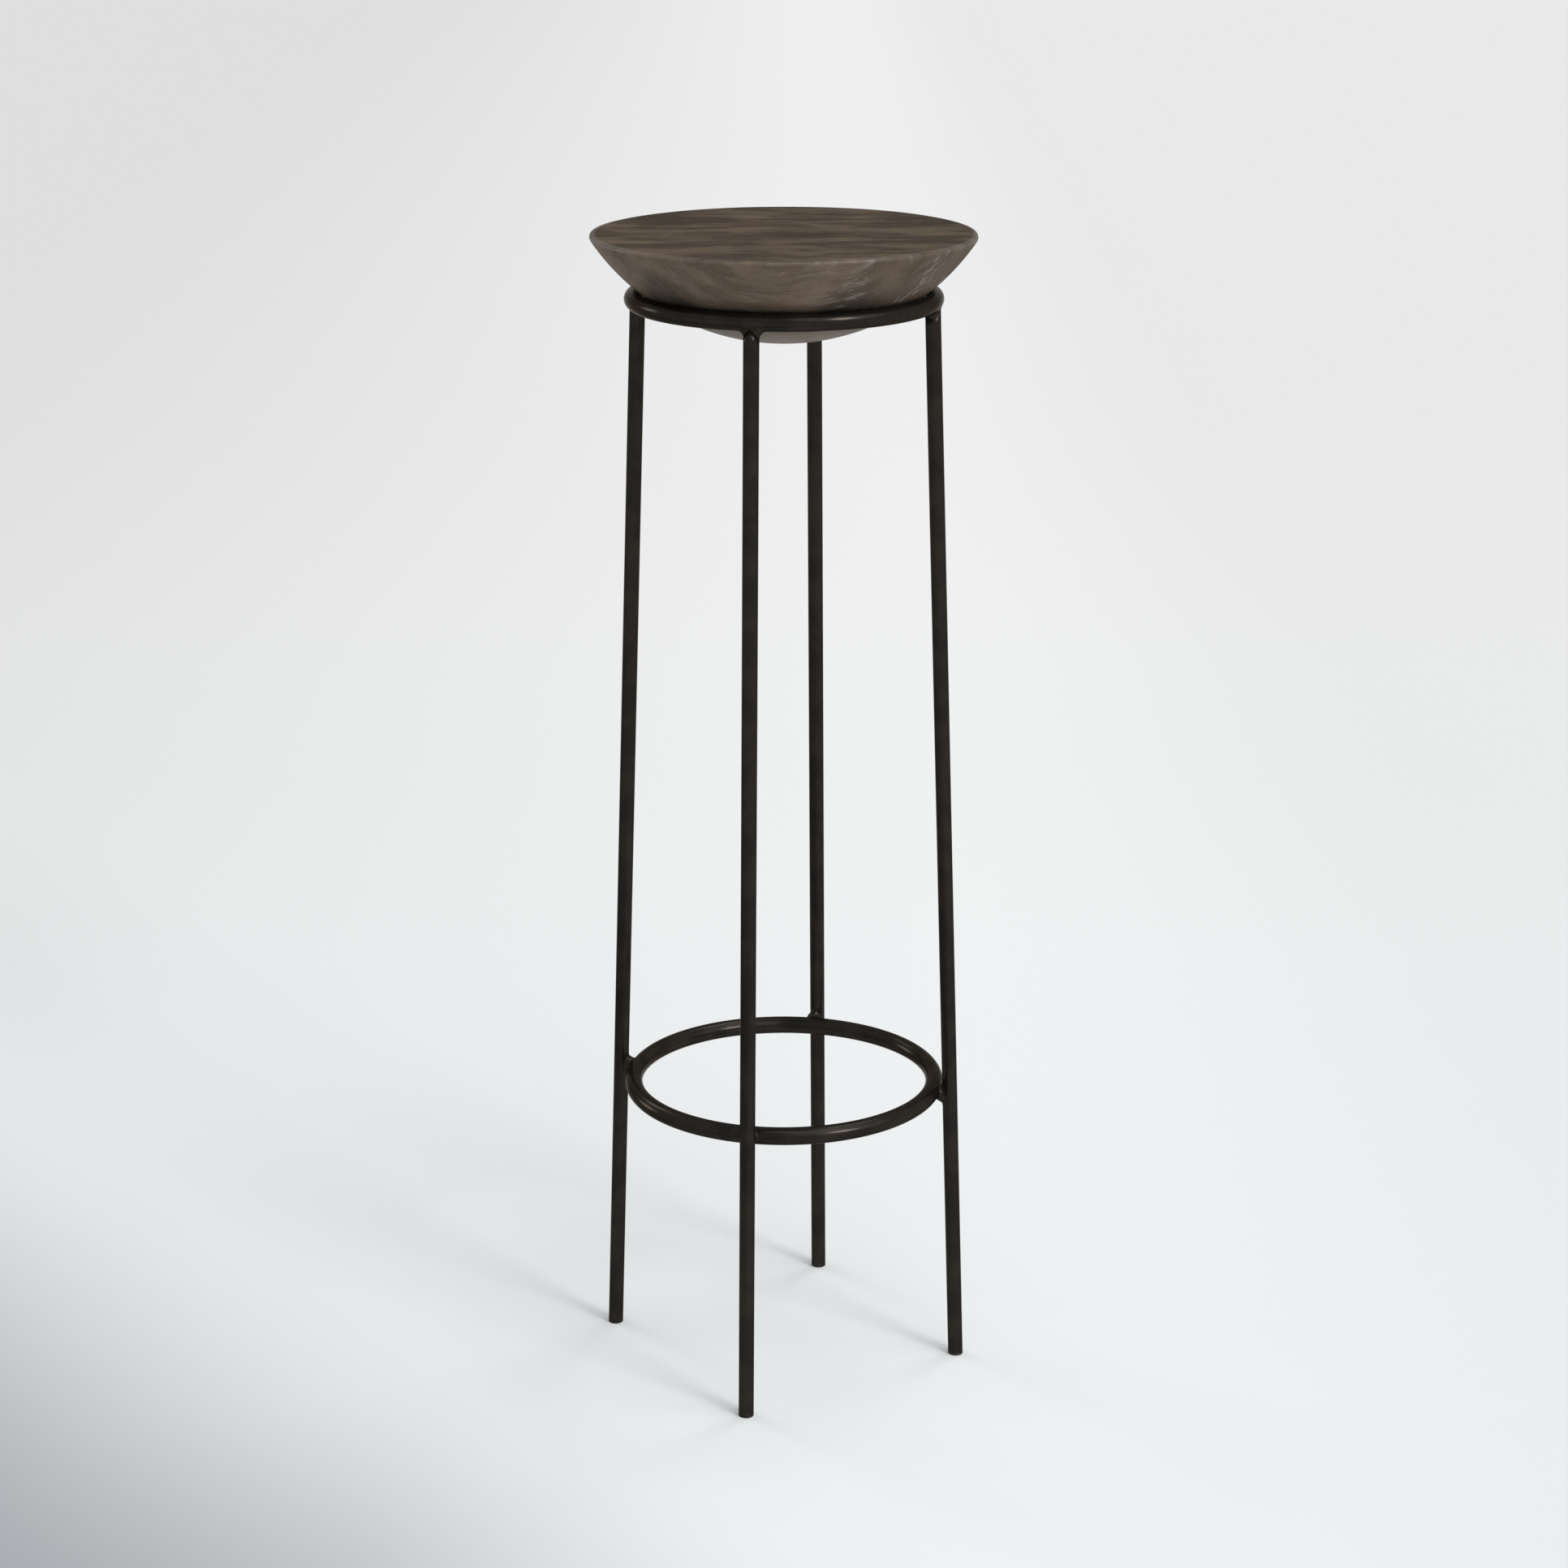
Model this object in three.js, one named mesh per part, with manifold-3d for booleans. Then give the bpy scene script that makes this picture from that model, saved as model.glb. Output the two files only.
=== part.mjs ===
// A tall plant stand: a solid turned wooden top that sits loose in a welded steel frame.
// The frame is two hoops of round bar and four straight legs that splay a little.
// Millimetres, +Z up, origin on the floor under the middle of the top, legs on the X and Y axes.
import * as THREE from "three";
import { mergeVertices } from "three/addons/utils/BufferGeometryUtils.js";
import Module from "manifold-3d";

// Whole stand: floor to the flat face of the wooden top.
const standHeight = 914.4;

// Wooden top: a cap cut from a ball, flat side up, with its sharp rim eased to a small radius.
const topDiameter = 293.5;
const topThickness = 82;
const topEdgeRadius = 2.5;

// Hoops: one bar size. Radii are to the middle of the bar.
const hoopBar = 14;
const upperHoopRadius = 114.4;
const lowerHoopHeight = 230;

// Legs: straight round bar, placed by where the middle of the bar meets the floor.
const legBar = 12;
const footRadius = 144;
const legSides = ["right", "back", "left", "front"];

// Clearances: between pieces that touch, and the wider one that the lower welds bridge.
const seatGap = 0.3;
const lowerHoopGap = 1.6;

// Upper welds: a bead round the top of each leg, full along the hoop and slim across it.
const upperBeadAlong = 2.8;
const upperBeadAcross = 1.3;

// Lower welds: a filled lump between hoop and leg, given as its three half widths.
const lowerWeldRadial = 5.5;
const lowerWeldTangent = 7.5;
const lowerWeldHeight = 9;

// Facets.
const facetsRound = 72;
const facetsHoopBar = 18;
const facetsLegBar = 32;
const facetsDome = 20;
const facetsEdge = 5;
const facetsBead = 8;
const facetsWeld = 16;

// The ball that the top is cut from. Its radius follows from the widest radius, the thickness
// and the eased rim, whose small circle touches both the flat face and the ball from inside.
const topRadius = topDiameter / 2;
const rimCentreRadius = topRadius - topEdgeRadius;
const rimCentreDepth = topThickness - topEdgeRadius;
const domeRadius =
  (rimCentreRadius ** 2 + rimCentreDepth ** 2 - topEdgeRadius ** 2) /
  (2 * (rimCentreDepth - topEdgeRadius));
const domeCentreHeight = standHeight - topThickness + domeRadius;

// The upper hoop carries the dome on its inner shoulder, so the dome sets the hoop's height.
const seatDistance = domeRadius + seatGap + hoopBar / 2;
const upperHoopHeight =
  domeCentreHeight - Math.sqrt(seatDistance ** 2 - upperHoopRadius ** 2);

// Each leg runs from its foot to the middle of the upper hoop's bar.
const legLean = Math.atan2(footRadius - upperHoopRadius, upperHoopHeight);
const legLength = Math.hypot(footRadius - upperHoopRadius, upperHoopHeight);

// The lower hoop lies inside the legs and stops one clearance short of them.
const legRadiusAtLowerHoop = footRadius - lowerHoopHeight * Math.tan(legLean);
const legHalfWidth = legBar / 2 / Math.cos(legLean);
const lowerHoopRadius =
  legRadiusAtLowerHoop - legHalfWidth - lowerHoopGap - hoopBar / 2;

const wasm = await Module();
wasm.setup();

// A closed geometry as a solid that can be cut.
function solidOf(geometry) {
  const bare = geometry.clone();
  bare.deleteAttribute("normal");
  bare.deleteAttribute("uv");
  const merged = mergeVertices(bare);
  const vertProperties = merged.attributes.position.array;
  const triVerts = new Uint32Array(merged.index.array);
  const mesh = new wasm.Mesh({ numProp: 3, vertProperties, triVerts });
  return new wasm.Manifold(mesh);
}

// A cut solid as a geometry again.
function geometryOf(solid) {
  const { vertProperties, triVerts } = solid.getMesh();
  const geometry = new THREE.BufferGeometry();
  geometry.setAttribute("position", new THREE.BufferAttribute(vertProperties, 3));
  geometry.setIndex(new THREE.BufferAttribute(triVerts, 1));
  geometry.computeVertexNormals();
  return geometry;
}

// A hoop of round bar lying flat at a height.
function hoopGeometry(radius, bar, height) {
  const ring = new THREE.TorusGeometry(radius, bar / 2, facetsHoopBar, facetsRound);
  return ring.translate(0, 0, height);
}

// Stands a shape that is made round its own Z axis on the leg's line, in the leg's own plane:
// X points away from the middle of the stand and the leg's foot is on the X axis.
function placeOnLeg(geometry) {
  const place = new THREE.Matrix4().makeRotationY(-legLean);
  place.setPosition(footRadius, 0, 0);
  return geometry.applyMatrix4(place);
}

// A straight bar on the leg's line, between two distances from the foot.
function legBarGeometry(bar, from, to) {
  const rod = new THREE.CylinderGeometry(bar / 2, bar / 2, to - from, facetsLegBar);
  rod.rotateX(Math.PI / 2);
  rod.translate(0, 0, (from + to) / 2);
  return placeOnLeg(rod);
}

// The profile goes from the bottom of the dome round the ball, over the eased rim and back
// along the flat face to the middle. The rim's circle meets the ball at the rim angle.
function woodTopGeometry() {
  const rimCentreHeight = standHeight - topEdgeRadius;
  const rimAngle = Math.atan2(rimCentreHeight - domeCentreHeight, rimCentreRadius);
  const dome = new THREE.Path();
  dome.absarc(0, domeCentreHeight, domeRadius, -Math.PI / 2, rimAngle, false);
  const rim = new THREE.Path();
  rim.absarc(rimCentreRadius, rimCentreHeight, topEdgeRadius, rimAngle, Math.PI / 2, false);
  const bottom = new THREE.Vector2(0, standHeight - topThickness);
  const centre = new THREE.Vector2(0, standHeight);
  const domePoints = dome.getSpacedPoints(facetsDome).slice(1);
  const rimPoints = rim.getSpacedPoints(facetsEdge).slice(1);
  const profile = [bottom, ...domePoints, ...rimPoints, centre];
  const turned = new THREE.LatheGeometry(profile, facetsRound);
  return turned.rotateX(Math.PI / 2);
}

// A leg: the bar, sawn flat at the floor and coped at the top to the round of the upper hoop.
function legGeometry() {
  const overrun = legBar;
  const bar = solidOf(legBarGeometry(legBar, -overrun, legLength));
  const floor = new THREE.BoxGeometry(2 * legBar, 2 * legBar, 2 * overrun);
  floor.translate(footRadius, 0, -overrun);
  const hoop = hoopGeometry(upperHoopRadius, hoopBar + 2 * seatGap, upperHoopHeight);
  return geometryOf(bar.subtract(solidOf(floor)).subtract(solidOf(hoop)));
}

// An upper weld: a ring of filler draped over the saddle where the leg's round meets the hoop's
// round, cut back from both. Its bead is full at the leg's two sides, along the hoop, and slim at
// its inner and outer faces, so it doesn't stand out past the hoop.
function upperWeldGeometry() {
  const legRadius = legBar / 2;
  const ring = new THREE.TorusGeometry(legRadius, 1, facetsBead, 2 * facetsWeld);
  const point = new THREE.Vector3();
  const position = ring.attributes.position;
  for (let i = 0; i < position.count; i += 1) {
    point.fromBufferAttribute(position, i);
    const angle = Math.atan2(point.y, point.x);
    const bead = THREE.MathUtils.lerp(upperBeadAcross, upperBeadAlong, Math.sin(angle) ** 2);
    const reach = legRadius + bead * (Math.hypot(point.x, point.y) - legRadius);
    const across = legRadius * Math.cos(angle);
    const saddleDepth = Math.sqrt(Math.max((hoopBar / 2) ** 2 - across ** 2, 0));
    point.x = reach * Math.cos(angle);
    point.y = reach * Math.sin(angle);
    point.z = legLength - saddleDepth + bead * point.z;
    position.setXYZ(i, point.x, point.y, point.z);
  }
  const filler = solidOf(placeOnLeg(ring));
  const leg = legBarGeometry(legBar + 2 * seatGap, 0, legLength + legBar);
  const hoop = hoopGeometry(upperHoopRadius, hoopBar + 2 * seatGap, upperHoopHeight);
  return geometryOf(filler.subtract(solidOf(leg)).subtract(solidOf(hoop)));
}

// A lower weld: a rounded lump of filler in the narrow gap between hoop and leg, cut back from
// both, so it shows as a web above and below the hoop.
function lowerWeldGeometry() {
  const lump = new THREE.SphereGeometry(1, facetsWeld, facetsWeld / 2);
  lump.rotateX(Math.PI / 2);
  lump.scale(lowerWeldRadial, lowerWeldTangent, lowerWeldHeight);
  const gapMiddle = lowerHoopRadius + hoopBar / 2 + lowerHoopGap / 2;
  lump.translate(gapMiddle, 0, lowerHoopHeight);
  const leg = legBarGeometry(legBar + 2 * seatGap, 0, legLength);
  const hoop = hoopGeometry(lowerHoopRadius, hoopBar + 2 * seatGap, lowerHoopHeight);
  return geometryOf(solidOf(lump).subtract(solidOf(leg)).subtract(solidOf(hoop)));
}

// Each piece has a material of its own: steel parts share one dark satin coat.
function darkSteel() {
  return new THREE.MeshStandardMaterial({ color: 0x26241f, roughness: 0.45, metalness: 0.55 });
}

function stainedWood() {
  return new THREE.MeshStandardMaterial({ color: 0x5c5046, roughness: 0.62, metalness: 0 });
}

function piece(name, geometry, material) {
  const mesh = new THREE.Mesh(geometry, material);
  mesh.name = name;
  return mesh;
}

// Welded frame: two hoops, and four legs with a weld at each hoop, a quarter turn apart.
const frame = new THREE.Group();
const upperHoop = hoopGeometry(upperHoopRadius, hoopBar, upperHoopHeight);
const lowerHoop = hoopGeometry(lowerHoopRadius, hoopBar, lowerHoopHeight);
frame.add(piece("upper_hoop", upperHoop, darkSteel()));
frame.add(piece("lower_hoop", lowerHoop, darkSteel()));
const leg = legGeometry();
const upperWeld = upperWeldGeometry();
const lowerWeld = lowerWeldGeometry();
legSides.forEach((side, index) => {
  const corner = new THREE.Group();
  corner.rotation.z = (index * 2 * Math.PI) / legSides.length;
  corner.add(piece(`leg_${side}`, leg, darkSteel()));
  corner.add(piece(`upper_weld_${side}`, upperWeld, darkSteel()));
  corner.add(piece(`lower_weld_${side}`, lowerWeld, darkSteel()));
  frame.add(corner);
});

const stand = new THREE.Group();
stand.add(frame);
stand.add(piece("wood_top", woodTopGeometry(), stainedWood()));

export default stand;
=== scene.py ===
# A tall plant stand, dressed for its picture: a welded frame of round steel bar with a dark satin
# coat, and a turned wooden top that lies loose in the upper hoop. Metres, +Z up, origin on the
# floor under the middle of the top, legs on the X and Y axes.
import bpy
import numpy as np
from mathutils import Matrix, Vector


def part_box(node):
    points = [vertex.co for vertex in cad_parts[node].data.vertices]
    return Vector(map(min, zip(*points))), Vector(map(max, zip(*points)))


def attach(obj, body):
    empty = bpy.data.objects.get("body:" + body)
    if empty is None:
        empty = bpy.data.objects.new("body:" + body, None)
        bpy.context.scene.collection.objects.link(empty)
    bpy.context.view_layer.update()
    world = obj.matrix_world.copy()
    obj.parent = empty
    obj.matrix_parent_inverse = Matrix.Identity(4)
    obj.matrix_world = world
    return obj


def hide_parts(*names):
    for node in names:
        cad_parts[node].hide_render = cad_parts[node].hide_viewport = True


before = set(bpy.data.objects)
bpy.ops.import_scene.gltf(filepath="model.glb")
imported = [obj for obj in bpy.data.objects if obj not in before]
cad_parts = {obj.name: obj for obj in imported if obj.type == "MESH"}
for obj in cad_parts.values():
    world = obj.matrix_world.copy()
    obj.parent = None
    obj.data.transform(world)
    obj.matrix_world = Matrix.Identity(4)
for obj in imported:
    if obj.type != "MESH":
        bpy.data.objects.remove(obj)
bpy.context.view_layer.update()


# ---------------------------------------------------------------------------------------------
# Upper hoop: the ring that carries the top. Round mild steel bar rolled to a circle, its ends
# butt-welded and ground flush, with a thin satin coat that is black with a trace of brown.
# ---------------------------------------------------------------------------------------------
hoop_bar = 0.014
rolling_sway = 0.00008
points_round_hoop = 360
points_round_hoop_bar = 40
coat_black = (0.0232, 0.0208, 0.0188, 1)
coat_brown = (0.0330, 0.0275, 0.0230, 1)
coat_scuffed = (0.060, 0.056, 0.052, 1)


def to_micrometre(length):
    """A length in metres, rounded to a whole number of thousandths of a millimetre."""
    return round(length, 6)


def middle_line(node):
    """The radius and the height of the circle in the middle of a hoop's bar. The hoop's box reaches
    half a bar further out than the circle, which lies halfway up the box."""
    low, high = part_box(node)
    return to_micrometre(high[0] - hoop_bar / 2), to_micrometre((low[2] + high[2]) / 2)


def full_turn(count):
    """Angles that share a full turn evenly, from 0 on."""
    return np.linspace(0, 2 * np.pi, count, endpoint=False)


def rolled_hoop(radius, height):
    """Rings of points for a round bar that is carried round a circle. At angle u on the circle and
    angle v on the bar, a point lies half the bar times cos v further out than the circle and half
    the bar times sin v higher. The circle itself sways a little with u: in and out by two waves and
    three waves, and up and down by two."""
    u = full_turn(points_round_hoop)[:, None]
    v = full_turn(points_round_hoop_bar)[None, :]
    middle = radius + rolling_sway * (np.sin(2 * u + 0.6) + 0.6 * np.sin(3 * u + 2.1))
    lift = height + 0.7 * rolling_sway * np.sin(2 * u + 1.9)
    out = middle + hoop_bar / 2 * np.cos(v)
    up = lift + hoop_bar / 2 * np.sin(v)
    return np.stack([out * np.cos(u), out * np.sin(u), up], axis=-1)


def skin(name, rings, ends=None):
    """A closed mesh over rings of points, where each ring is joined to the next by four-sided
    faces. With no ends the last ring joins the first. With two ends, the points above the first
    ring and below the last one, each end is joined to its ring by a fan of triangles."""
    index = np.arange(rings.shape[0] * rings.shape[1]).reshape(rings.shape[:2])
    onward = np.roll(index, -1, axis=1)
    points = rings.reshape(-1, 3)
    here, there = (index, onward), (np.roll(index, -1, axis=0), np.roll(onward, -1, axis=0))
    if ends is not None:
        here, there = (index[:-1], onward[:-1]), (index[1:], onward[1:])
    faces = np.stack([here[0], there[0], there[1], here[1]], axis=-1).reshape(-1, 4).tolist()
    if ends is not None:
        top, bottom = np.full_like(index[0], len(points)), np.full_like(index[0], len(points) + 1)
        points = np.concatenate([points, np.asarray(ends, float).reshape(2, 3)])
        faces += np.stack([top, index[0], onward[0]], axis=-1).tolist()
        faces += np.stack([bottom, onward[-1], index[-1]], axis=-1).tolist()
    mesh = bpy.data.meshes.new(name)
    mesh.from_pydata(points.tolist(), [], faces)
    mesh.polygons.foreach_set("use_smooth", np.ones(len(mesh.polygons), bool))
    mesh.update()
    piece = bpy.data.objects.new(name, mesh)
    bpy.context.scene.collection.objects.link(piece)
    return piece


class Tap:
    """One socket of a material's nodes. In an expression it counts as a number, and each operator
    adds its Math node."""

    def __init__(self, tree, socket=None):
        self.tree = tree
        self.socket = socket

    def make(self, kind, settings, sockets, output=0):
        """Adds a node of a type, with its settings first and then its sockets' values or links."""
        node = self.tree.nodes.new(kind)
        for name, value in settings.items():
            setattr(node, name, value)
        for name, value in sockets.items():
            if isinstance(value, Tap):
                self.tree.links.new(value.socket, node.inputs[name])
            else:
                node.inputs[name].default_value = value
        return Tap(self.tree, node.outputs[output] if node.outputs else None)

    def math(self, operation, *values):
        """A Math node's operation on numbers, each of them a socket's or a plain one."""
        return self.make("ShaderNodeMath", {"operation": operation}, dict(enumerate(values)))

    def __add__(self, other):
        return self.math("ADD", self, other)

    def __sub__(self, other):
        return self.math("SUBTRACT", self, other)

    def __rsub__(self, other):
        return self.math("SUBTRACT", other, self)

    def __mul__(self, other):
        return self.math("MULTIPLY", self, other)

    __radd__ = __add__
    __rmul__ = __mul__

    def between(self, low, high):
        """0 below low and 1 above high, with a soft start and end. With low above high it falls."""
        sockets = {"Value": self, "From Min": low, "From Max": high}
        return self.make("ShaderNodeMapRange", {"interpolation_type": "SMOOTHSTEP"}, sockets)

    def colour(self, first, second):
        """The first colour where this number is 0, the second where it is 1. Sockets of a Mix node
        share their names, so they are given by their places: 0, 6 and 7, and 2 for the outcome."""
        return self.make("ShaderNodeMix", {"data_type": "RGBA"}, {0: self, 6: first, 7: second}, 2)

    def axis(self, letter):
        """The X, Y or Z of the place that this socket gives."""
        return self.make("ShaderNodeSeparateXYZ", {}, {"Vector": self}, letter)

    def noise(self, scale, detail, roughness, output="Fac"):
        """Noise of a number of lumps a metre at the places that this socket gives."""
        sockets = {"Vector": self, "Scale": scale, "Detail": detail, "Roughness": roughness}
        return self.make("ShaderNodeTexNoise", {}, sockets, output)

    def stretched(self, by, turn=(0, 0, 0), move=(0, 0, 0)):
        """Places stretched along X, Y and Z, then turned and moved. A pattern that is read there
        is squeezed as much as the places are stretched."""
        sockets = {"Vector": self, "Scale": by, "Rotation": turn, "Location": move}
        return self.make("ShaderNodeMapping", {}, sockets)


def new_material(name):
    """An empty material, and the places of the piece's own points in metres."""
    material = bpy.data.materials.new(name)
    material.use_nodes = True
    material.node_tree.nodes.clear()
    start = Tap(material.node_tree)
    return material, start.make("ShaderNodeTexCoord", {}, {}, "Object")


def steel_coat(name, peel_lumps, peel_depth):
    """The satin coat. Broad noise turns black towards brown-black and dulls the gloss, two finer
    ones are the orange peel of the sprayed coat, of a number of lumps a metre and a depth, and
    within 5 mm of the floor the coat is scuffed in patches."""
    material, place = new_material(name)
    broad = place.noise(46.0, 4.0, 0.6)
    fine = place.noise(330.0, 3.0, 0.55)
    peel = place.noise(peel_lumps, 2.0, 0.5)
    height = place.axis("Z")
    scuffed = height.between(0.005, 0.0) * fine.between(0.46, 0.6)
    tone = broad.between(0.38, 0.66).colour(coat_black, coat_brown)
    worn = (scuffed * 0.8).colour(tone, coat_scuffed)
    gloss = 0.13 + 0.08 * broad + 0.05 * fine + 0.12 * scuffed
    relief = {"Height": peel + 0.7 * fine, "Strength": 1.0, "Distance": peel_depth}
    bump = place.make("ShaderNodeBump", {}, relief)
    shader = place.make("ShaderNodeBsdfPrincipled", {}, {
        "Base Color": worn, "Roughness": gloss, "Normal": bump,
        "Metallic": 0.7, "Specular IOR Level": 0.0, "Specular Tint": (0.52, 0.49, 0.46, 1)})
    place.make("ShaderNodeOutputMaterial", {}, {"Surface": shader})
    return material


bar_coat = steel_coat("satin_black_bar", peel_lumps=1500.0, peel_depth=0.000012)
upper_hoop_radius, upper_hoop_height = middle_line("upper_hoop")
upper_hoop = skin("upper_ring", rolled_hoop(upper_hoop_radius, upper_hoop_height))
upper_hoop.data.materials.append(bar_coat)
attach(upper_hoop, "frame")
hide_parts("upper_hoop")


# ---------------------------------------------------------------------------------------------
# Lower hoop: the ring that ties the legs at about a quarter of the height. The same bar, rolled,
# butt-welded and ground flush, and set just inside the legs.
# ---------------------------------------------------------------------------------------------
lower_hoop_radius, lower_hoop_height = middle_line("lower_hoop")
lower_hoop = skin("lower_ring", rolled_hoop(lower_hoop_radius, lower_hoop_height))
lower_hoop.data.materials.append(bar_coat)
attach(lower_hoop, "frame")
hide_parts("lower_hoop")


# ---------------------------------------------------------------------------------------------
# Legs: four straight round bars that splay a little, sawn flat at the floor with the burr filed
# off, and coped at the top to the round of the upper hoop, where they are welded.
# ---------------------------------------------------------------------------------------------
leg_bar = 0.012
foot_radius = 0.144
leg_lean = np.arctan2(foot_radius - upper_hoop_radius, upper_hoop_height)
leg_length = np.hypot(foot_radius - upper_hoop_radius, upper_hoop_height)
filed_edge = 0.0006
cope_gap = 0.0003
points_round_leg = 56
rings_along_leg = 90
halvings = 40
leg_sides = ["right", "back", "left", "front"]


def from_leg(x, y, z):
    """Points given in a leg's own frame (x away from the middle of the stand, z up along the bar
    from its foot) as points of the stand, for the leg on the X axis: leaned inwards, then moved out
    to the foot."""
    out = foot_radius + x * np.cos(leg_lean) - z * np.sin(leg_lean)
    up = x * np.sin(leg_lean) + z * np.cos(leg_lean)
    return np.stack(np.broadcast_arrays(out, y, up), axis=-1)


def turned_to(side, points):
    """Points turned about the upright axis by as many quarter turns as the side's place."""
    angle = leg_sides.index(side) * np.pi / 2
    x, y, z = points[..., 0], points[..., 1], points[..., 2]
    across = x * np.cos(angle) - y * np.sin(angle)
    along = x * np.sin(angle) + y * np.cos(angle)
    return np.stack([across, along, z], axis=-1)


def hoop_distance(points, radius, height):
    """Distance from points to a hoop's surface: to the circle in the middle of its bar, less half
    the bar. It is negative inside the bar."""
    out = np.hypot(points[..., 0], points[..., 1]) - radius
    return np.hypot(out, points[..., 2] - height) - hoop_bar / 2


def halved(low, high, too_far):
    """The place between low and high where too_far turns from false to true, found by halving the
    range again and again for all points at once."""
    for _ in range(halvings):
        middle = (low + high) / 2
        past = too_far(middle)
        low, high = np.where(past, low, middle), np.where(past, middle, high)
    return (low + high) / 2


def leg_rings(side):
    """Rings of points from the cope down to the foot. Point t goes round the bar. At the top the
    bar ends where it comes within the cope gap of the hoop. Rings shrink to the middle over the
    cope and over the flat foot, and the foot's edge is a quarter circle of the filed size."""
    t = full_turn(points_round_leg)[None, :]
    radius = leg_bar / 2
    cope = np.array([0.25, 0.5, 0.72, 0.88, 0.97])[:, None] * radius
    share = np.linspace(0, 1, rings_along_leg)[:, None]
    arc = np.linspace(0, np.pi / 2, 6)[1:, None]
    sole = np.array([0.85, 0.6, 0.3])[:, None] * radius
    across = np.concatenate([cope, radius + 0 * share, radius - filed_edge * (1 - np.cos(arc)), sole])
    x, y = across * np.cos(t), across * np.sin(t)

    def cope_height(x, y):
        """How far up the bar a line along it comes within the cope gap of the hoop. The place is
        looked for over a last stretch that is as long as the bar is thick."""
        low, high = np.full_like(x, leg_length - leg_bar), np.full_like(x, leg_length)
        return halved(low, high, lambda z: hoop_distance(
            from_leg(x, y, z), upper_hoop_radius, upper_hoop_height) < cope_gap)

    coped = cope_height(x, y)
    sawn = -x * np.tan(leg_lean)
    rise = np.concatenate([1 + 0 * cope, 1 - share, 0 * arc, 0 * sole])
    edge = np.concatenate([0 * cope, filed_edge + 0 * share, filed_edge * (1 - np.sin(arc)), 0 * sole])
    z = sawn + edge + rise * (coped - sawn - edge)
    middle = np.zeros(1)
    top = from_leg(middle, middle, cope_height(middle, middle))
    ends = np.concatenate([top, from_leg(middle, middle, middle)])
    return turned_to(side, from_leg(x, y, z)), turned_to(side, ends)


for side in leg_sides:
    leg = skin(f"bar_leg_{side}", *leg_rings(side))
    leg.data.materials.append(bar_coat)
    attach(leg, "frame")
    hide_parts(f"leg_{side}")


# ---------------------------------------------------------------------------------------------
# Welds at the upper hoop: one bead of steel round the coped end of each leg. It fills the crease
# to a smooth hollow, dies into both bars, and is coated with them.
# ---------------------------------------------------------------------------------------------
bead_reach_along = 0.0068
bead_reach_across = 0.0017
bead_half_widths = (0.0125, 0.0150, 0.0165)
bead_middle_drop = 0.0005
bead_swings = {"right": 0.4, "back": 2.3, "left": 4.1, "front": 5.5}
weld_sink = 0.00010
weld_points_round = 144
weld_points_down = 72
weld_steps_out = 60
pole_angle = 1e-6


def leg_distance(points):
    """Distance from points to the surface of the leg on the X axis: to the straight line in the
    middle of its bar, less half the bar, and no further up than the middle of the upper hoop."""
    out, y, up = points[..., 0] - foot_radius, points[..., 1], points[..., 2]
    x = out * np.cos(leg_lean) + up * np.sin(leg_lean)
    z = up * np.cos(leg_lean) - out * np.sin(leg_lean)
    return np.maximum(np.hypot(x, y) - leg_bar / 2, z - leg_length)


def filleted(first, second, reach, ripple=0.0):
    """The nearer of two distances, made smaller where both are alike, so that the two surfaces
    flow into each other: by a quarter of the reach times the square of how alike they are. A
    ripple makes that a little more or less."""
    alike = np.maximum(1 - np.abs(first - second) / reach, 0)
    return np.minimum(first, second) - reach / 4 * alike**2 * (1 + ripple)


def weld_rings(centre, size, outside):
    """Rings of points on a closed lump round a centre. Each point lies on a straight line from the
    centre, at the first place that is outside the weld, and within an egg of the given half widths.
    The place is looked for in even steps and then found by halving. Rings go from the top down."""
    down = np.arange(1, weld_points_down) / weld_points_down * np.pi
    fall = np.concatenate([[pole_angle], down, [np.pi - pole_angle]])[:, None]
    t = full_turn(weld_points_round)[None, :]
    ray = np.stack(np.broadcast_arrays(
        np.sin(fall) * np.cos(t), np.sin(fall) * np.sin(t), np.cos(fall)), axis=-1)
    egg = 1 / np.linalg.norm(ray / np.asarray(size), axis=-1)
    steps = np.linspace(0, 1, weld_steps_out + 1)
    places = centre + (egg[..., None] * steps)[..., None] * ray[..., None, :]
    past = outside(places, t[..., None])
    past[..., -1] = True
    first = np.maximum(past.argmax(axis=-1), 1)
    reach = halved(steps[first - 1] * egg, steps[first] * egg,
                   lambda reach: outside(centre + reach[..., None] * ray, t))
    points = centre + np.minimum(reach, egg)[..., None] * ray
    return points[1:-1], np.stack([points[0].mean(axis=0), points[-1].mean(axis=0)])


weld_coat = steel_coat("satin_black_weld", peel_lumps=700.0, peel_depth=0.000025)
for side, swing in bead_swings.items():

    def past_bead(points, t):
        """True outside the bead: past the leg and the hoop with a hollow fillet between them, whose
        reach grows with the square of sin t from its least across the hoop to its most along it.
        The reach is uneven by slow waves of t, and quick ones ripple the fillet."""
        reach = bead_reach_across + (bead_reach_along - bead_reach_across) * np.sin(t) ** 2
        uneven = 1 + 0.10 * np.sin(t + swing) + 0.05 * np.sin(5 * t + 2 * swing)
        ripple = 0.035 * np.sin(24 * t + swing)
        hoop = hoop_distance(points, upper_hoop_radius, upper_hoop_height)
        return filleted(leg_distance(points), hoop, reach * uneven, ripple) > -weld_sink

    joint = np.array([upper_hoop_radius, 0, upper_hoop_height - bead_middle_drop])
    rings, ends = weld_rings(joint, bead_half_widths, past_bead)
    bead = skin(f"upper_bead_{side}", turned_to(side, rings), turned_to(side, ends))
    bead.data.materials.append(weld_coat)
    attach(bead, "frame")
    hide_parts(f"upper_weld_{side}")


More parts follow.
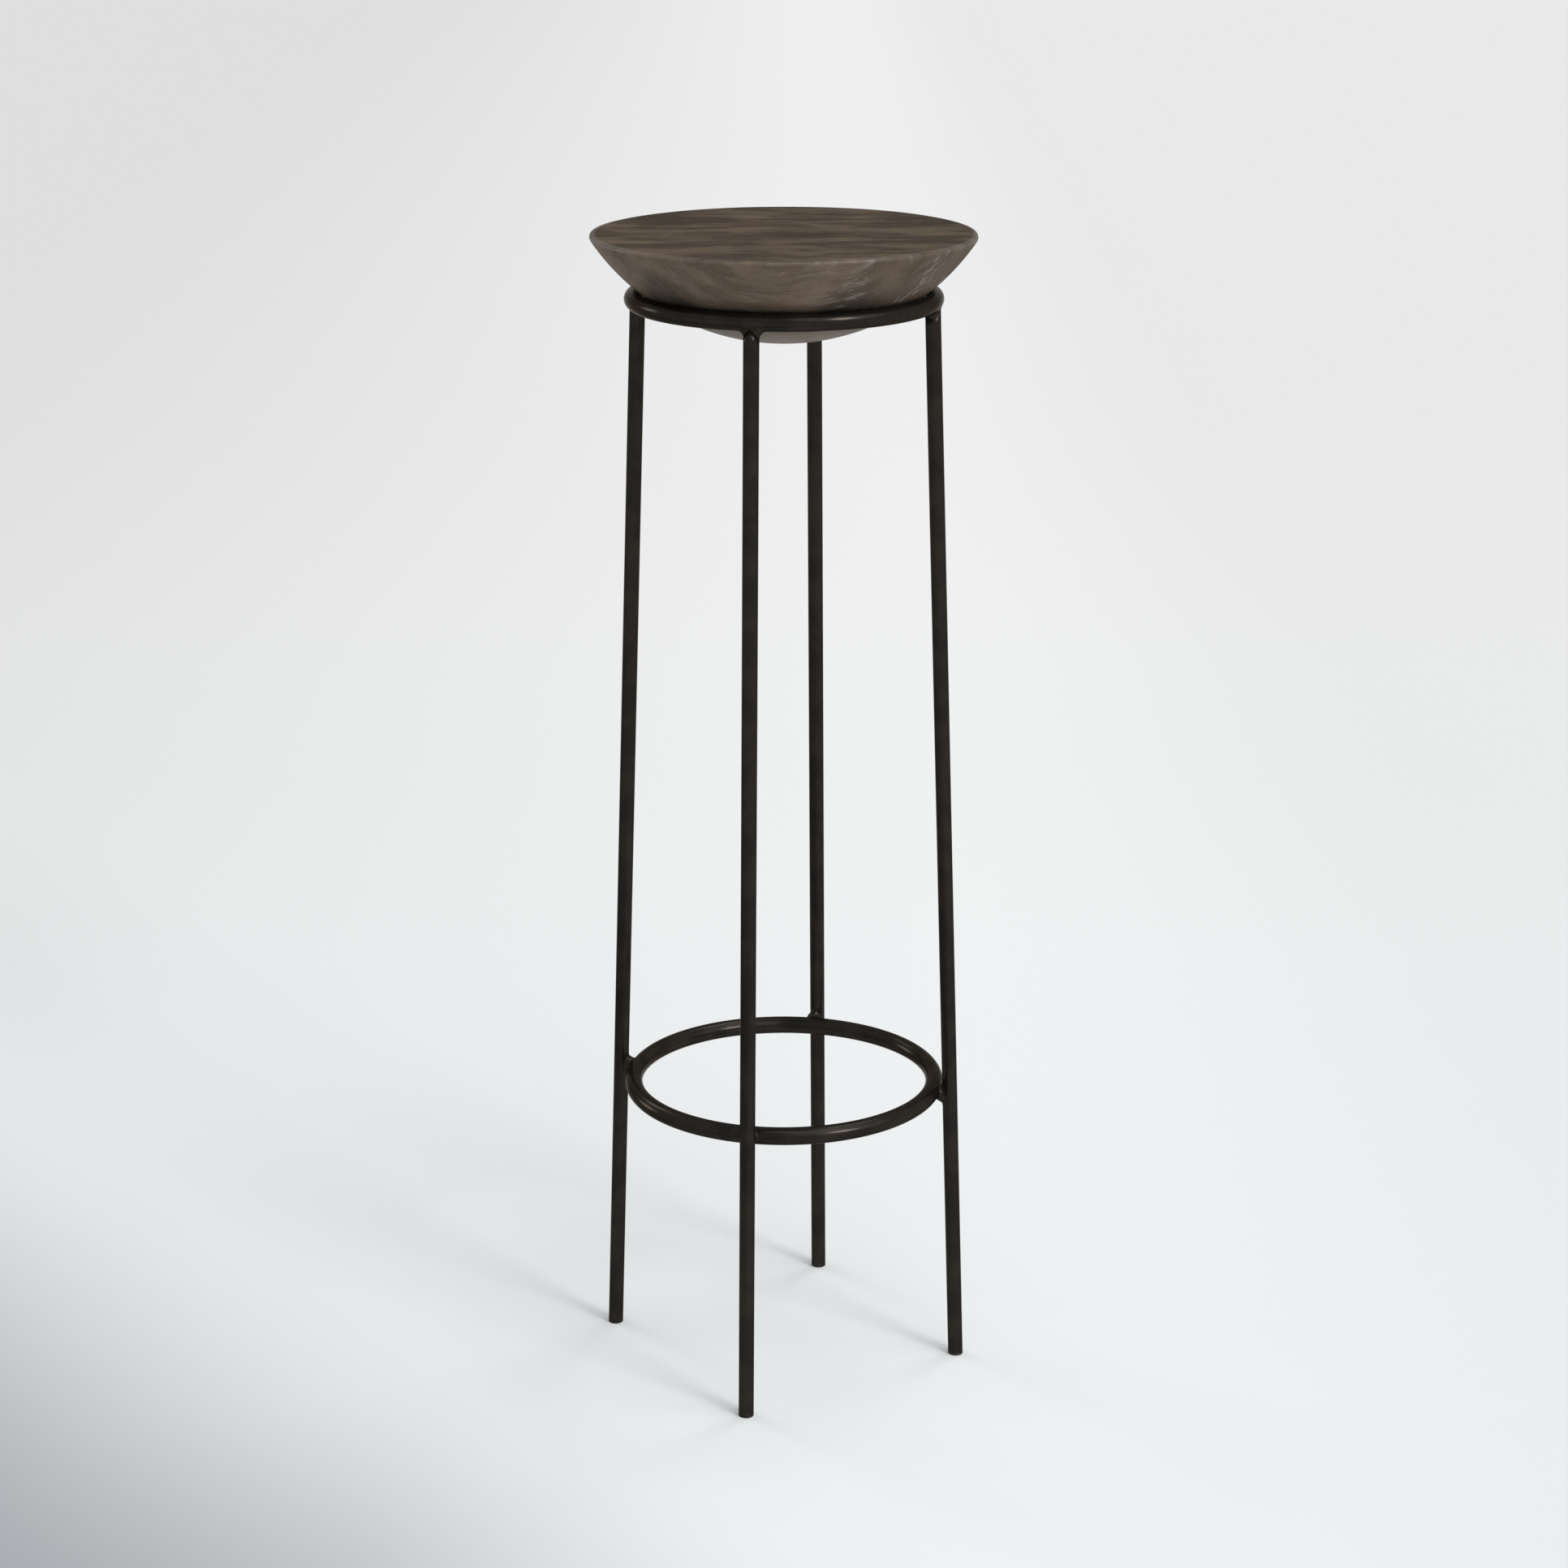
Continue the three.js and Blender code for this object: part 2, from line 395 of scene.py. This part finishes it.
# ---------------------------------------------------------------------------------------------
# Welds at the lower hoop: a lump of filler in the narrow gap between each leg and the hoop. The
# hand that laid them left each one its own shape, a web above the hoop here and below it there.
# ---------------------------------------------------------------------------------------------
root_depth = 0.0006
bar_fillet = 0.0050
lump_fillet = 0.0040
lump_half_widths = (0.0085, 0.0105, 0.0125)
leg_inner_face = foot_radius - lower_hoop_height * np.tan(leg_lean) - leg_bar / 2
gap_middle = (lower_hoop_radius + hoop_bar / 2 + leg_inner_face) / 2

# For each leg: how far the lump's core is from the middle of the gap, its three half widths, and
# where its waves start.
lower_lumps = {
    "right": ((0.0, 0.0004, -0.0028), (0.0042, 0.0056, 0.0056), 0.7),
    "back": ((0.0, 0.0026, 0.0028), (0.0042, 0.0048, 0.0056), 1.9),
    "left": ((0.0, -0.0004, 0.0021), (0.0042, 0.0056, 0.0052), 3.6),
    "front": ((0.0, 0.0, 0.0002), (0.0036, 0.0034, 0.0046), 5.2),
}

for side, (shift, half, swing) in lower_lumps.items():
    core = np.array([gap_middle, 0, lower_hoop_height]) + np.array(shift)

    def past_lump(points, t):
        """True outside the lump, or deeper in a bar than the root: past a small egg that flows into
        the leg and the hoop, and whose size varies by two slanting sets of waves."""
        y, z = points[..., 1], points[..., 2]
        wave = 0.05 * np.sin(600 * (y + z) + swing) + 0.03 * np.sin(1300 * (y - z) + 3 * swing)
        inside = np.linalg.norm((points - core) / np.array(half), axis=-1)
        lump = (inside - 1 - wave) * half[0]
        hoop = hoop_distance(points, lower_hoop_radius, lower_hoop_height)
        leg = leg_distance(points)
        filled = filleted(filleted(hoop, leg, bar_fillet), lump, lump_fillet)
        return (filled > -weld_sink) | (hoop < -root_depth) | (leg < -root_depth)

    rings, ends = weld_rings(core, lump_half_widths, past_lump)
    lump = skin(f"lower_lump_{side}", turned_to(side, rings), turned_to(side, ends))
    lump.data.materials.append(weld_coat)
    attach(lump, "frame")
    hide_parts(f"lower_weld_{side}")


# ---------------------------------------------------------------------------------------------
# Wooden top: one solid block turned to a cap of a ball, with a flat face above and its sharp rim
# eased. Smoky grey-brown stain and a satin wax. It lies loose in the upper hoop.
# ---------------------------------------------------------------------------------------------
stand_height = 0.9144
top_diameter = 0.2935
top_thickness = 0.082
rim_easing = 0.0025
sanding_sway = 0.00008
points_round_top = 320
rings_on_face, rings_on_rim, rings_on_ball = 45, 13, 108

# The ball that the top is cut from follows from the top's diameter, thickness and eased rim, whose
# small circle touches both the flat face and the ball from inside.
rim_circle = top_diameter / 2 - rim_easing
rim_rise = top_thickness - rim_easing
ball_radius = to_micrometre((rim_circle**2 + rim_rise**2 - rim_easing**2) / (2 * (rim_rise - rim_easing)))
ball_height = to_micrometre(stand_height - top_thickness + ball_radius)


def turned_cap():
    """Rings of points from the middle of the flat face, out to the rim, over its small round and
    down the ball. At angle t the rim's circle touches the flat face and the ball from inside, so
    its middle lies on a circle one easing smaller than the ball. Sanding leaves the easing a little
    uneven with t, and the ball about a tenth of a millimetre out of true."""
    t = full_turn(points_round_top)[None, :]
    easing = rim_easing + 0.00025 * np.sin(3 * t + 1.0) + 0.00015 * np.sin(7 * t + 2.0)
    rim_height = stand_height - easing
    rim_out = np.sqrt((ball_radius - easing) ** 2 - (ball_height - rim_height) ** 2)
    rim_angle = np.arctan2(rim_height - ball_height, rim_out)
    face = np.linspace(0, 1, rings_on_face + 1)[1:, None] * rim_out
    bend = np.pi / 2 + np.linspace(0, 1, rings_on_rim + 1)[1:, None] * (rim_angle - np.pi / 2)
    share = np.linspace(0, 1, rings_on_ball + 2)[1:-1, None]
    fall = rim_angle + share**0.9 * (-np.pi / 2 - rim_angle)
    sway = np.sin(2 * t + 0.4) * np.sin(9 * fall) + 0.5 * np.sin(5 * t + 14 * fall)
    ball = ball_radius + sanding_sway * sway * np.cos(fall)
    out = np.concatenate([face, rim_out + easing * np.cos(bend), ball * np.cos(fall)])
    up = np.concatenate([
        0 * face + stand_height, rim_height + easing * np.sin(bend), ball_height + ball * np.sin(fall)])
    ends = [(0, 0, stand_height), (0, 0, ball_height - ball_radius)]
    return np.stack([out * np.cos(t), out * np.sin(t), up], axis=-1), ends


grain_turn = np.radians(-12.0)
place_in_block = (0.31, 0.17, -0.80)
ball_light = (0.207, 0.152, 0.114, 1)
ball_smoky = (0.121, 0.089, 0.065, 1)
# Painted shade: the ball's right and left sides are mixed towards this darker brown.
side_shade_brown = (0.060, 0.044, 0.032, 1)
# Painted reflection of the pale floor: the bottom of the ball is mixed towards this pale colour.
floor_reflection_pale = (0.260, 0.228, 0.196, 1)
# Painted shade just above the hoop.
seat_shade_dark = (0.042, 0.035, 0.029, 1)
face_light = (0.123, 0.090, 0.064, 1)
face_smoky = (0.049, 0.037, 0.028, 1)
streak_grey = (0.150, 0.120, 0.095, 1)
fibre_dark = (0.040, 0.030, 0.023, 1)
stroke_chalk = (0.220, 0.198, 0.177, 1)
pore_dark = (0.030, 0.022, 0.016, 1)

# Dark spots: the middle of each, given along the grain, across it and up, and how far it reaches.
# Each patch of painted shade above the hoop starts with how dark it is.
smoke_spots = (
    ((0.0116, -0.0028, stand_height), 0.042),
    ((-0.085, 0.075, stand_height), 0.058),
    ((0.100, 0.060, stand_height), 0.050),
)
seat_shade_spots = (
    (0.70, (-0.086, -0.083, 0.873), 0.037),
    (0.65, (0.052, -0.108, 0.868), 0.034),
)


def smoky_wood():
    """The grain runs across the stand. Growth layers stand upright and cross the depth, so they
    are noise that is long along the grain and short across it, bent by a slow noise and a finer
    one. Over them lie smoky clouds with three dark spots on the flat face, short pale strokes that
    gather on the right and thin out over the end grain, fibres and dark pores. The flat face is
    darker and dull. The ball is paler, with painted shade that darkens it towards its right and
    left sides and in a faint band and two patches just above the hoop, and a painted reflection
    of the pale floor at its bottom. The wax is burnished on the rim."""
    material, place = new_material("smoky_wood")
    across = place.stretched((1, 1, 1), turn=(0, 0, grain_turn))
    block = place.stretched((1, 1, 1), turn=(0, 0, grain_turn), move=place_in_block)
    bent = block
    for lumps, push in ((7.0, (0.02, 0.05, 0.03)), (38.0, (0.004, 0.004, 0.007))):
        drift = block.noise(lumps, 2.0, 0.5, "Color")
        pushed = {0: drift, 1: push, 2: bent}
        bent = block.make("ShaderNodeVectorMath", {"operation": "MULTIPLY_ADD"}, pushed)

    def grained(lumps, detail, roughness, move=(0, 0, 0)):
        """Noise in the wood, of three numbers of lumps a metre: along the grain, across it and up."""
        return bent.stretched(lumps, move=move).noise(1.0, detail, roughness)

    layers = grained((9, 95, 34), 4.0, 0.62)
    streaks = grained((18, 300, 160), 3.0, 0.6)
    strokes = grained((58, 330, 120), 3.0, 0.55, move=(2, 5, 3))
    fibres = grained((60, 1500, 1500), 2.0, 0.6)
    pores = grained((150, 1900, 1900), 1.0, 0.5, move=(3, 1, 7)).between(0.66, 0.76)
    clouds = grained((15, 30, 24), 6.0, 0.66, move=(5, 2, 1))
    patch = grained((26, 40, 30), 2.0, 0.5, move=(1, 9, 4)).between(0.44, 0.56)
    along, height = across.axis("X"), across.axis("Z")
    left, right = along.between(-0.02, -0.075), along.between(-0.01, 0.11)
    end_grain = along.between(0.085, 0.135)
    flat = place.stretched((1, 1, 0))
    out = flat.make("ShaderNodeVectorMath", {"operation": "LENGTH"}, {0: flat}, "Value")
    face = height.between(stand_height - 0.0014, stand_height - 0.0001)
    rim = height.between(stand_height - 0.0044, stand_height - 0.0016) * out.between(0.1420, 0.1440)

    def spot(middle, size):
        """1 at a spot's middle, and 0 further off than its size, with a cloudy edge."""
        places = {0: across, 1: middle}
        away = across.make("ShaderNodeVectorMath", {"operation": "DISTANCE"}, places, "Value")
        return (away + 0.05 * clouds - 0.025).between(size, 0.35 * size)

    smoke = clouds.between(0.41, 0.59) * 0.62 + layers.between(0.40, 0.60) * 0.46
    for middle, size in smoke_spots:
        smoke = smoke + 0.45 * spot(middle, size)
    # Painted shade in a faint band and two patches just above the hoop, where the hoop shades the wood.
    seat_shade = 0.30 * height.between(0.882, 0.875)
    for dark, middle, size in seat_shade_spots:
        seat_shade = seat_shade + dark * spot(middle, size)
    low = height.between(0.866, 0.842)
    ball_brown = smoke.colour(ball_light, ball_smoky)
    # Painted shade: the ball is darker towards its right and left sides.
    side_shaded_ball = (0.56 * right + 0.22 * left).colour(ball_brown, side_shade_brown)
    # Painted reflection of the pale floor at the bottom of the ball, then the painted shade above the
    # hoop.
    ball_with_painted_light = (low * 0.65).colour(side_shaded_ball, floor_reflection_pale)
    ball_with_painted_light = (seat_shade * (1 - low)).colour(ball_with_painted_light, seat_shade_dark)
    face_brown = smoke.colour(face_light, face_smoky)
    brown = face.colour(ball_with_painted_light, face_brown)
    greyed = (streaks.between(0.50, 0.70) * 0.30).colour(brown, streak_grey)
    lined = (fibres.between(0.50, 0.34) * 0.30).colour(greyed, fibre_dark)
    pale = strokes.between(0.50, 0.62) * patch * (0.18 + 0.72 * right - 0.60 * end_grain)
    chalky = (pale * (1 - 0.85 * face)).colour(lined, stroke_chalk)
    porous = (pores * 0.5).colour(chalky, pore_dark)
    gloss = 0.50 + 0.12 * streaks + 0.08 * fibres
    relief = 0.5 * fibres + 0.8 * streaks - 1.2 * pores
    bump = place.make("ShaderNodeBump", {}, {"Height": relief, "Strength": 1.0, "Distance": 0.00006})
    wax = 0.15 + 0.35 * rim - 0.10 * face
    shader = place.make("ShaderNodeBsdfPrincipled", {}, {
        "Base Color": porous, "Roughness": gloss, "Normal": bump, "Specular IOR Level": 0.0,
        "Coat Weight": wax, "Coat Roughness": 0.32, "Coat IOR": 1.4})
    place.make("ShaderNodeOutputMaterial", {}, {"Surface": shader})
    return material


cap = skin("turned_cap", *turned_cap())
cap.data.materials.append(smoky_wood())
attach(cap, "top")
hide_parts("wood_top")


# ---------------------------------------------------------------------------------------------
# Studio: a wide pale floor, a soft key light from the right in front, a broad one from above, four
# small ones that draw highlights along the bars, and an even pale room.
# ---------------------------------------------------------------------------------------------
view_turn = np.radians(12.0)
floor_half = 60.0
shade_blue = (0.355, 0.373, 0.395, 1)

# One metre from the stand towards the shade is this far across and this far along.
shade_across, shade_along = -0.748, -0.664


def pale_floor():
    """The floor's colour, by place across and along the camera's line: palest round the stand, with
    painted shade that makes it slightly greyer far off, to the left and to the right, and a trace
    less red near the camera. A patch of painted cool shade lies at the near left. It is placed by
    how far it is from the stand towards that corner, and how far aside of that line."""
    material, place = new_material("pale_floor")
    laid = place.stretched((1, 1, 1), turn=(0, 0, -view_turn))
    across, along = laid.axis("X"), laid.axis("Y")
    # Painted shade: the floor is greyer far off, to the left and to the right.
    level = 0.876 - 0.050 * along.between(-2.7, 4.4)
    level = level - 0.144 * across.between(0.98, -1.9) - 0.074 * across.between(0.13, 0.84)
    red = level * (0.975 + 0.030 * along.between(-0.2, 3.0))
    tint = level.make("ShaderNodeCombineColor", {}, {0: red, 1: level, 2: level})
    nearer = shade_across * across + shade_along * along
    aside = shade_across * along - shade_along * across
    # Painted shade: a cool patch at the near left.
    shade = nearer.between(0.21, 0.76) * nearer.between(1.9, 0.8)
    shade = shade * aside.between(-2.2, -1.0) * aside.between(1.6, 0.5)
    cool = shade.colour(tint, shade_blue)
    shader = place.make("ShaderNodeBsdfPrincipled", {}, {
        "Base Color": cool, "Roughness": 0.9, "Specular IOR Level": 0.0})
    place.make("ShaderNodeOutputMaterial", {}, {"Surface": shader})
    return material


corner = np.array([[-1, -1, 0], [1, -1, 0], [1, 1, 0], [-1, 1, 0]]) * floor_half
floor_mesh = bpy.data.meshes.new("floor")
floor_mesh.from_pydata(corner.tolist(), [], [[0, 1, 2, 3]])
floor = bpy.data.objects.new("floor", floor_mesh)
bpy.context.scene.collection.objects.link(floor)
floor.data.materials.append(pale_floor())


def lamp(name, bearing, height, strength, width):
    """A far lamp: its bearing is counted from the camera's side towards the right, its height above
    the floor is an angle, and its width is the angle that it fills."""
    light = bpy.data.lights.new(name, "SUN")
    light.energy = strength
    light.angle = np.radians(width)
    stand = bpy.data.objects.new(name, light)
    bpy.context.scene.collection.objects.link(stand)
    b, h = np.radians(bearing) + view_turn, np.radians(height)
    towards = Vector((np.sin(b) * np.cos(h), -np.cos(b) * np.cos(h), np.sin(h)))
    stand.rotation_mode = "QUATERNION"
    stand.rotation_quaternion = (-towards).to_track_quat("-Z", "Y")


lamp("key", bearing=46.0, height=38.0, strength=0.82, width=62.0)
lamp("glint", bearing=46.0, height=30.0, strength=1.05, width=17.0)
lamp("above", bearing=58.0, height=72.0, strength=0.56, width=44.0)
lamp("spark", bearing=139.0, height=63.0, strength=0.30, width=16.0)
lamp("left_edge", bearing=-133.0, height=38.0, strength=0.24, width=14.0)
lamp("low_edge", bearing=-113.0, height=8.0, strength=0.40, width=16.0)

# The room lights the stand, and is a little brighter where it is seen, also in metal and glass.
room_strength = 0.44
room_seen_extra = 0.20
room_white = (0.97, 0.99, 1.0, 1)
room = bpy.data.worlds.new("pale_room")
room.use_nodes = True
room.node_tree.nodes.clear()
air = Tap(room.node_tree)
seen = air.make("ShaderNodeLightPath", {}, {}, "Is Camera Ray")
for kind in ("Is Glossy Ray", "Is Transmission Ray"):
    seen = seen.math("MINIMUM", seen + air.make("ShaderNodeLightPath", {}, {}, kind), 1.0)
strength = room_strength + room_seen_extra * seen
sky = air.make("ShaderNodeBackground", {}, {"Color": room_white, "Strength": strength})
air.make("ShaderNodeOutputWorld", {}, {"Surface": sky})
bpy.context.scene.world = room
bpy.context.scene.view_settings.view_transform = "Standard"


# ---------------------------------------------------------------------------------------------
# Camera: level sides, a little above the top, turned twelve degrees round the stand so that the
# front leg stands left of the middle and the back leg right of it.
# ---------------------------------------------------------------------------------------------
camera_distance = 2.6603
camera_height = 1.2907
looking_down = np.radians(16.96)
focal_length = 80.79

lens = bpy.data.cameras.new("camera")
lens.lens = focal_length
lens.sensor_width = 36.0
lens.clip_end = 200.0
camera = bpy.data.objects.new("camera", lens)
bpy.context.scene.collection.objects.link(camera)
away = camera_distance * np.array([np.sin(view_turn), -np.cos(view_turn)])
camera.location = (away[0], away[1], camera_height)
camera.rotation_euler = (np.pi / 2 - looking_down, 0, view_turn)
bpy.context.scene.camera = camera
